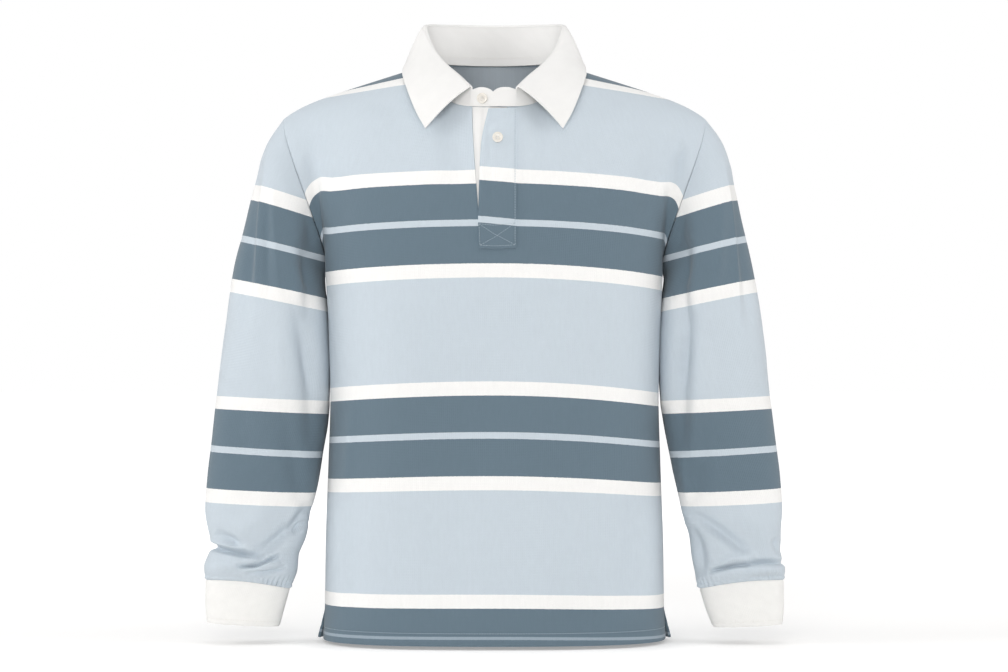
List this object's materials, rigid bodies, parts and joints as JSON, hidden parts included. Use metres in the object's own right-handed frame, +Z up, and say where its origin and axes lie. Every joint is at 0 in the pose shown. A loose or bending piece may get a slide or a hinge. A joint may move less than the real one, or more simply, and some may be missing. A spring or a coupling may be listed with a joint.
{
  "type": "long-sleeved rugby polo shirt",
  "caption": "Long-sleeved jersey polo shirt, filled out as worn, with a turned-down collar, a buttoned placket, gathered cuffs and side slits at a straight hem.",
  "frame": {"origin": "midway between the points where the two shoulder seams meet the neck, where the wearer's shoulders hold the shirt", "axes": "+Z up, -Y out of the front, +X towards the wearer's left sleeve"},
  "size_m": [0.744, 0.2305, 0.7956],
  "materials": {
    "striped_jersey": "matt cotton jersey, light blue with dark blue-grey and white stripes",
    "white_drill": "matt white cotton drill",
    "white_rib": "matt white double-knit cotton",
    "ivory_resin": "polished ivory resin"
  },
  "bodies": {
    "root": {"front_panel": "striped_jersey", "back_panel": "striped_jersey", "sleeve_right": "striped_jersey", "sleeve_left": "striped_jersey", "placket_band": "striped_jersey", "placket_facing": "white_drill", "collar_stand": "white_drill", "collar_leaf": "white_drill", "cuff_right": "white_rib", "cuff_left": "white_rib", "button_neck": "ivory_resin", "button_placket": "ivory_resin"}
  },
  "joints": []
}
